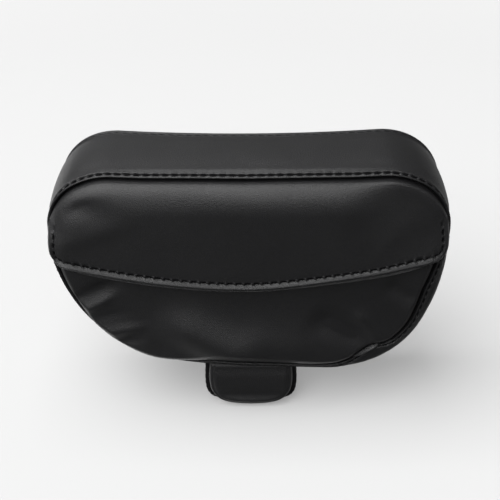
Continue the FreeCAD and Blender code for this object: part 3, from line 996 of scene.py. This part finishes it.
# Section of the binding: above the mouth and out of the pouch's skin
BINDING_SECTION = ((-8, -2.0), (-0.6, -2.0), (0.5, -1.5), (0.8, -0.7), (0.5, 0.1), (-0.6, 0.6), (-8, 0.6))


class Pouch:
    """The slack pouch panel under the flap: it sags low down and rolls under into its seam."""

    def __init__(self, outline, flap):
        bearing = math.degrees(math.atan2(HALF_WIDTH - 5, POUCH_MOUTH - 4 - PAD_MIDDLE))
        extra = -0.4
        self.flap = flap
        self.seam = rear_seam(outline, bearing, 360 - bearing, extra, 700)
        self.right = rear_seam(outline, bearing, POUCH_CORNERS[0], extra)
        self.bottom = rear_seam(outline, *POUCH_CORNERS, extra)[::-1]
        self.left = rear_seam(outline, POUCH_CORNERS[1], 360 - bearing, extra)[::-1]
        self.top = np.stack([self.left[0], self.right[0]])

    def height(self, points):
        """Height of the pouch's skin above the rear face; its mouth is held against the flap's fastener."""
        x, z = points[..., 0], points[..., 1]
        from_seam = distance_to(points, self.seam)
        sag = hump(z, 40, np.where(z > 40, 36, 30)) * hump(x, -6, 78)
        folds = sum(self.fold(x, z, *line) for line in POUCH_FOLDS)
        puff = sizes().pouch_puff + 7.0 * sag + np.maximum(folds, DEEPEST_FOLD)
        share = np.clip(1 - from_seam / (ROLL_REACH * puff), 0, 1)
        h = 0.2 + puff * (1 - share**1.5) - SEAM_DEPTH * trench(from_seam, 0.45)
        held = smooth(112, 124, z) * (1 - smooth(55, 85, np.abs(x)))
        return h + (self.flap.body(points) - LOOP_BACK - TAPE - h) * held

    @staticmethod
    def fold(x, z, start, end, width, rise):
        """A soft crease between two places."""
        span = np.subtract(end, start)
        dx, dz = x - start[0], z - start[1]
        t = (dx * span[0] + dz * span[1]) / (span @ span)
        off = (dz * span[0] - dx * span[1]) / math.sqrt(span @ span)
        fade = smooth(-0.25, 0.2, t) * (1 - smooth(0.65, 1.25, t))
        return rise * fade * hump(off, 0, width)

    def build(self):
        """The vinyl."""
        to_seam = ((-16, 1.6), (-3, 1.2), (-1, 0.5), (None, 0.2))
        u = spaced(270, (1, 0.2), (3, 0.5), (16, 1.2), *to_seam)
        v = spaced(120, *to_seam)
        flat = coons(self.top, self.bottom, self.left, self.right, u, v)
        grid = on_rear(flat, self.height(flat))
        vinyl_skin("pouch_panel", grid, TO_FRONT, 0.25)

    def binding(self):
        """Tape folded over the pouch's mouth."""
        (left, mouth), (right, _) = self.top
        x = np.linspace(left, right, 150)[2:-2]
        rows = []
        for rise, lift in BINDING_SECTION:
            place = np.stack([x, np.full(len(x), mouth + rise)], -1)
            rows.append(on_rear(place, self.height(np.minimum(place, (np.inf, mouth))) + lift))
        grid = np.stack(rows)
        skin("pouch_binding_tape", grid, 0.5, grid.mean(0)[None] - grid, "woven_tape", node="pouch_binding")


# How far the front panel's edge dives into its seam and overlaps the band there, and its corners' bearings
FRONT_DIVE = 4.6
FRONT_LAP = 0.2
FRONT_CORNERS = (55.0, 125.0, 235.0, 305.0)


def build_front(outline):
    """The front panel: dished, with a rounded edge that rises out of the front seam."""

    def stretch(start, end, count=300):
        points, normals = outline.at(np.linspace(start, end, count))
        return points - normals * (FRONT_INSET - FRONT_LAP)

    a, b, c, d = outline.fraction_at_bearing(np.array(FRONT_CORNERS))
    zones = ((18, 1.6), (-18, 3.2), (None, 1.6))
    u, v = (spaced(total, *zones) for total in (260, 140))
    flat = coons(stretch(d - 1, a), stretch(c, b), stretch(d, c), stretch(a, b), u, v)
    away = distance_to(flat, stretch(0, 1, 900))
    roll = sizes().front_roll
    crown = 1.5 * smooth(10, 70, away)
    rise = (roll + FRONT_DIVE) * quarter_round(away, 1.25 * roll) - FRONT_DIVE + crown
    grid = upright(flat, front_face() - roll + dish(flat[..., 0]) + rise)
    vinyl_skin("front_panel", grid, -TO_FRONT, 0.9)


# Inside of the cushion

# How far a soft solid's edge is pushed away from either face, and how far in from the outline it is drawn in
FACE_CLEARANCE = 6.5
DRAW_REACH = 45


def drawn_in(outline, node, margin):
    """A copy of a soft solid, drawn in at its edge so that it stays inside the dressed cover."""
    points, faces = packed_mesh(node)
    flat = points[:, [0, 2]]
    bearing = bearing_of(flat)
    edge, normals = outline.at(outline.fraction_at_bearing(bearing))
    away = np.sum((edge - flat) * normals, 1)
    depth = np.maximum(points[:, 1] - REAR_FACE, 0)
    draw = (TUCK(bearing) + UNDER(bearing)) * fading(depth) + margin
    points[:, [0, 2]] -= normals * (draw * np.clip(1 - away / DRAW_REACH, 0, 1))[:, None]
    near_rear = 1 - smooth(0, 12, depth)
    points[:, 1] += FACE_CLEARANCE * near_rear * (1 - smooth(22, 40, away))
    near_front = 1 - smooth(12, 30, front_face() + dish(points[:, 0]) - points[:, 1])
    points[:, 1] -= FACE_CLEARANCE * near_front * (1 - smooth(14, 32, away))
    if node != "rear_lining":
        add_piece(node + "_core", points, faces, "foam", node, 1.0)
        return
    piece = add_piece(node + "_cloth", points, faces, "lining_cloth", node)


def dress_inner_nodes():
    """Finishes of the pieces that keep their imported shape."""
    for part in frame["record"]["subparts"]:
        node = frame["nodes"][part["node"]]
        node.data.materials.clear()
        node.data.materials.append(finish(part["material_slot"]))


# Boot of the tongue


def smooth_line(places, count):
    """A smooth line through places, by cubic runs between them."""
    p = np.asarray(places, float)
    p = np.vstack([2 * p[0] - p[1], p, 2 * p[-1] - p[-2]])
    t = np.linspace(0, len(places) - 1, count)
    i = np.minimum(t.astype(int), len(places) - 2)
    t = (t - i)[:, None]
    a, b, c, d = p[i], p[i + 1], p[i + 2], p[i + 3]
    return 0.5 * (2 * b + (c - a) * t + (2 * a - 5 * b + 4 * c - d) * t**2 + (3 * b - a - 3 * c + d) * t**3)


# Right half of the boot's panel and of its gusset, from the top down
PANEL_SIDE = (
    (33.6, 26), (34.4, 17), (34.6, 7), (33.2, -2.5), (29.4, -9.6), (24, -14), (17, -16.4), (9, -17.6),
    (0, -18),
)
GUSSET_SIDE = (
    (36.6, 26), (37.3, 17), (37.8, 7), (37.5, -2), (36, -8), (32.4, -12.6), (26, -15.2), (13, -16.7),
    (0, -17),
)
# Section of the gusset: outward place and share of its depth from back to front
GUSSET_SECTION = (
    (-5.0, 0.0), (-1.4, 0.0), (-0.4, 0.06), (0.1, 0.2), (0.3, 0.45), (0.3, 0.6), (0.1, 0.8), (-0.4, 0.95),
    (-1.4, 1.0), (-6.4, 1.0),
)
# Share of the panel's edge that is its side, and the thickness of the boot's cloths
BOOT_SIDE = 0.28
BOOT_CLOTH = 1.2


def boot_edge(side):
    """The boot's outline from its upper left, round below, to its upper right."""
    right = smooth_line(side, 90)
    return np.vstack([right * (-1, 1), right[::-1][1:]])


def boot_height(points, line):
    """Height of the boot's vinyl over the gusset: a soft pad with a crease, tucked in under the band."""
    away = distance_to(points, line)
    z = points[..., 1]
    span = BOOT_HIGH.z - BOOT_LOW.z
    h = (BOOT_HIGH.y - BOOT_LOW.y) * (0.2 + 0.8 * quarter_round(away, 6))
    crease = 0.9 * hump(z, BOOT_LOW.z + 0.62 * span, 9) - 0.8 * hump(z, BOOT_LOW.z + 0.30 * span, 5)
    belly = 2.0 * hump(z, BOOT_LOW.z + 0.12 * span, 7)
    rim = 0.5 * hump(away, 1.6, 1.1) - 0.35 * hump(away, 3.6, 0.9)
    above = z - PAD_BOTTOM
    under_band = -1.4 * smooth(-9, 1, above) - 2.0 * smooth(1, 4, above)
    return h + (crease + belly) * smooth(1, 8, away) + rim + under_band


def build_boot():
    """The tongue's vinyl panel."""
    line = boot_edge(PANEL_SIDE)
    walk = polyline(line)
    u = spaced(90, (12, 0.8), (-12, 1.2), (None, 0.8))
    v = spaced(40, (-12, 1.2), (None, 0.6))
    left = walk(np.linspace(0, BOOT_SIDE, 60))
    right = walk(np.linspace(1, 1 - BOOT_SIDE, 60))
    bottom = walk(np.linspace(BOOT_SIDE, 1 - BOOT_SIDE, 120))
    flat = coons(line[[0, -1]], bottom, left, right, u, v)
    grid = upright(flat, BOOT_HIGH.y - boot_height(flat, line))
    skin("boot_panel_vinyl", grid, BOOT_CLOTH, TO_FRONT, "black_vinyl", node="boot_panel", fill=0.5)


def build_gusset():
    """The woven band round the tongue, turned in at the back and the front."""
    edge = boot_edge(GUSSET_SIDE)
    tangent = unit(np.gradient(edge, axis=0))
    outward = np.stack([tangent[:, 1], -tangent[:, 0]], -1)
    ripple = 0.12 * np.sin(np.arange(len(edge)) * 0.9)
    back, front = GUSSET_LOW.y, GUSSET_HIGH.y
    rows = []
    for out, share in GUSSET_SECTION:
        place = edge + outward * (out + ripple * (out > -0.5))[:, None]
        rows.append(upright(place, back + share * (front - back)))
    grid = np.stack(rows)
    inward = np.array([0, (back + front) / 2, BOOT_HIGH.z]) - grid
    skin("boot_gusset_tape", grid, BOOT_CLOTH, inward, "woven_tape", node="boot_gusset")


def build_boot_foam():
    """The foam round the blade, slimmer behind the gusset, so that it stays inside the dressed boot."""
    points, faces = packed_mesh("boot_foam")
    behind = points[:, 1] < GUSSET_LOW.y + 2
    points[:, 0] *= 1 - (3.2 + 11 * behind) / BOOT_HIGH.x
    points[:, 2] = np.maximum(points[:, 2], BOOT_LOW.z + 3 + 9 * behind)
    points[:, 1] += 6 * behind * smooth(-14, -1, points[:, 2] - PAD_BOTTOM)
    add_piece("boot_foam_core", points, faces, "foam", "boot_foam", 1.0)


# Stage

KEY_PLACE = (-0.70, -0.85, 1.45)
KEY_SIZE = (1.7, 2.4)
# Share of the key light's radiance that reaches the floor right below it
KEY_SHARE = 0.44
FLOOR_DROP = 0.002
FLOOR_RADIUS = 2.0
COVE_RADIUS = 1.6
WALL_TOP = 6.0
SENSOR = 36.0
# Where the camera looks, in millimetres from the pad's bottom, and how far that is from the picture's middle
LOOK_AT = (0, 10, 82)
PICTURE_SHIFT = (0.38, 18.02)
PICTURE_WIDTH = 500


def aim(thing, place, target, roll=0.0):
    """Stands a camera or light at a place, looking at a target."""
    look = (Vector(target) - Vector(place)).to_track_quat("-Z", "Y").to_matrix().to_4x4()
    thing.matrix_world = Matrix.Translation(place) @ look @ Matrix.Rotation(roll, 4, "Z")


def build_key():
    """One large light above and to the left, facing down."""
    lamp = bpy.data.lights.new("key", "AREA")
    lamp.shape = "RECTANGLE"
    lamp.size, lamp.size_y = KEY_SIZE
    lamp.energy = stage_settings().key * math.pi * KEY_SIZE[0] * KEY_SIZE[1]
    aim(link("key", lamp), KEY_PLACE, (*KEY_PLACE[:2], 0))


def round_sheet(name, rings, material):
    """A stage sheet of rings, each a radius and a height, round the part."""
    turn = np.linspace(0, 2 * math.pi, 96, endpoint=False)
    points = np.array([(r * math.cos(a), r * math.sin(a), z) for r, z in rings for a in turn])
    sheet = link(name, smooth_mesh(name, points, quads(len(rings), len(turn), True), material))
    sheet.visible_glossy = False
    return sheet


def build_floor():
    """A pale floor just below the boot, evenly bright, and a pale wall that it turns up into."""
    s = stage_settings()
    z = CAD_LOW.z - FLOOR_DROP
    white = colours().floor[0]
    matt = {"Roughness": 0.9, "Specular_IOR_Level": 0.0, "Emission_Strength": 1.0}
    f = Finish("studio_floor")
    spread = (KEY_PLACE[2] + KEY_SIZE[0] / 3, KEY_PLACE[2] + KEY_SIZE[1] / 3, 1)
    away = f.vector("DIVIDE", f.vector("SUBTRACT", f.place, (*KEY_PLACE[:2], z)), spread)
    off = f.node("VectorMath", {"operation": "LENGTH"}, {0: away}, "Value")
    radius = f.node("VectorMath", {"operation": "LENGTH"}, {0: f.place}, "Value")
    light = s.fill * 0.82 + s.front * 0.12 + s.key * KEY_SHARE / (1 + off * off) ** 2.0
    share = s.floor_glow + (1 - s.floor_glow) * radius.between(0.8, 0.9 * FLOOR_RADIUS)
    lit = f.grey(white / light * (1 - share))
    floor = f.set(Base_Color=lit, Emission_Color=f.grey(white * share), **matt)
    round_sheet("floor", [(0.001, z), (0.3, z), (FLOOR_RADIUS, z)], floor)
    glow = (white, white, white, 1)
    wall = Finish("studio_wall").set(Base_Color=(0, 0, 0, 1), Emission_Color=glow, **matt)
    rise = [math.radians(a) for a in range(0, 91, 10)]
    cove = [(FLOOR_RADIUS + COVE_RADIUS * math.sin(a), z + COVE_RADIUS * (1 - math.cos(a))) for a in rise]
    backdrop = round_sheet("backdrop", [*cove, (FLOOR_RADIUS + COVE_RADIUS, WALL_TOP)], wall)
    backdrop.visible_diffuse = False
    backdrop.visible_shadow = False


def build_camera():
    """The photograph's view."""
    s = stage_settings()
    a, e = s.azimuth, s.elevation
    target = (Vector((0, 0, PAD_BOTTOM)) + Vector(LOOK_AT)) * MM
    back = Vector((math.sin(a) * math.cos(e), -math.cos(a) * math.cos(e), math.sin(e)))
    lens = bpy.data.cameras.new("camera")
    lens.lens, lens.sensor_width = s.lens, SENSOR
    camera = link("camera", lens)
    place = target + back * s.distance
    aim(camera, place, target, s.roll)
    shift = Vector(PICTURE_SHIFT) / PICTURE_WIDTH * SENSOR / s.lens
    aim(camera, place, place + camera.matrix_world.to_3x3() @ Vector((*shift, -1)), s.roll)
    bpy.context.scene.camera = camera


def build_surroundings():
    """White surroundings, brighter above and on the left, with a soft light behind the camera."""
    s = stage_settings()
    world = bpy.data.worlds.new("surroundings")
    bpy.context.scene.world = world
    world.use_nodes = True
    tree = world.node_tree
    place = add_node(tree, "TexCoord", None, {}, "Generated")
    x, y, up = (add_node(tree, "SeparateXYZ", None, {0: place}, i) for i in range(3))
    to_camera = 0 - y
    below = 1 - up.between(-0.3, -0.1)
    skyline = up.between(-0.2, -0.05) * (1 - up.between(0.1, 0.4))
    sky = 0.6 - 0.2 * to_camera.between(-0.2, 0.7) + 0.36 * up.between(0.05, 0.75)
    sky = sky + y.between(0.0, 0.6) * (0.7 * below - 0.4 * skyline)
    sky = s.fill * sky * (1.42 - 0.9 * x.between(-0.3, 0.3) + 0.5 * x.between(0.45, 0.9))
    sky = sky + s.front * to_camera.between(0.25, 0.95) * up.between(-0.3, 0.4)
    background = tree.nodes["Background"].inputs
    feed(tree, background["Color"], (1, 1, 1, 1))
    feed(tree, background["Strength"], sky)


# Operators


class BACKREST_OT_inside(bpy.types.Operator):
    """Finishes the foam, board, spine and fasteners"""

    bl_idname = "backrest.inside"
    bl_label = "Inside"

    def execute(self, context):
        outline = PadOutline()
        dress_inner_nodes()
        drawn_in(outline, "foam_pad", 1.6)
        drawn_in(outline, "rear_foam", 2.6)
        drawn_in(outline, "rear_lining", 5.0)
        return {"FINISHED"}


class BACKREST_OT_cushion(bpy.types.Operator):
    """Sews the band, the front panel and their stitching"""

    bl_idname = "backrest.cushion"
    bl_label = "Cushion cover"

    def execute(self, context):
        outline = PadOutline()
        build_band(outline)
        build_front(outline)
        band_stitches(outline, -1, "rear_seam_stitches")
        band_stitches(outline, 1, "front_seam_stitches")
        return {"FINISHED"}


class BACKREST_OT_pouch(bpy.types.Operator):
    """Makes the slack pouch panel, its binding and its strip of fastener"""

    bl_idname = "backrest.pouch"
    bl_label = "Pouch"

    def execute(self, context):
        outline = PadOutline()
        pouch = Pouch(outline, Flap(outline))
        pouch.build()
        pouch.binding()
        tape_strip("loop_strip", pouch.height, TAPE)
        return {"FINISHED"}


class BACKREST_OT_flap(bpy.types.Operator):
    """Makes the flap, its lining, its stitching and its strip of fastener"""

    bl_idname = "backrest.flap"
    bl_label = "Flap"

    def execute(self, context):
        flap = Flap(PadOutline())
        flap.build()
        flap.lining()
        flap.stitches()
        tape_strip("hook_strip", flap.body, -HOOK_BACK)
        return {"FINISHED"}


class BACKREST_OT_boot(bpy.types.Operator):
    """Covers the tongue"""

    bl_idname = "backrest.boot"
    bl_label = "Tongue boot"

    def execute(self, context):
        build_boot()
        build_gusset()
        build_boot_foam()
        return {"FINISHED"}


class BACKREST_OT_stage(bpy.types.Operator):
    """Sets the floor, the light and the camera"""

    bl_idname = "backrest.stage"
    bl_label = "Stage"

    def execute(self, context):
        build_floor()
        build_camera()
        build_key()
        build_surroundings()
        context.scene.view_settings.view_transform = "Standard"
        return {"FINISHED"}


OPERATORS = (
    BACKREST_OT_inside,
    BACKREST_OT_cushion,
    BACKREST_OT_pouch,
    BACKREST_OT_flap,
    BACKREST_OT_boot,
    BACKREST_OT_stage,
)
GROUPS = {
    "backrest_sizes": BackrestSizes,
    "backrest_colours": BackrestColours,
    "backrest_stage": BackrestStage,
}


class BACKREST_PT_sidebar(bpy.types.Panel):
    """Lists the backrest's pieces and settings"""

    bl_label = "Backrest"
    bl_idname = "BACKREST_PT_sidebar"
    bl_space_type = "VIEW_3D"
    bl_region_type = "UI"
    bl_category = "Backrest"

    def draw(self, context):
        for operator in OPERATORS:
            self.layout.operator(operator.bl_idname)
        for name, group in GROUPS.items():
            for setting in group.__annotations__:
                self.layout.prop(getattr(context.scene, name), setting)


CLASSES = (*GROUPS.values(), *OPERATORS, BACKREST_PT_sidebar)


def register():
    for item in CLASSES:
        bpy.utils.register_class(item)
    for name, group in GROUPS.items():
        setattr(bpy.types.Scene, name, PointerProperty(type=group))


def unregister():
    for name in GROUPS:
        delattr(bpy.types.Scene, name)
    for item in reversed(CLASSES):
        bpy.utils.unregister_class(item)


def main():
    register()
    bpy.ops.backrest.inside()
    bpy.ops.backrest.cushion()
    bpy.ops.backrest.pouch()
    bpy.ops.backrest.flap()
    bpy.ops.backrest.boot()
    bpy.ops.backrest.stage()


if __name__ == "__main__":
    main()
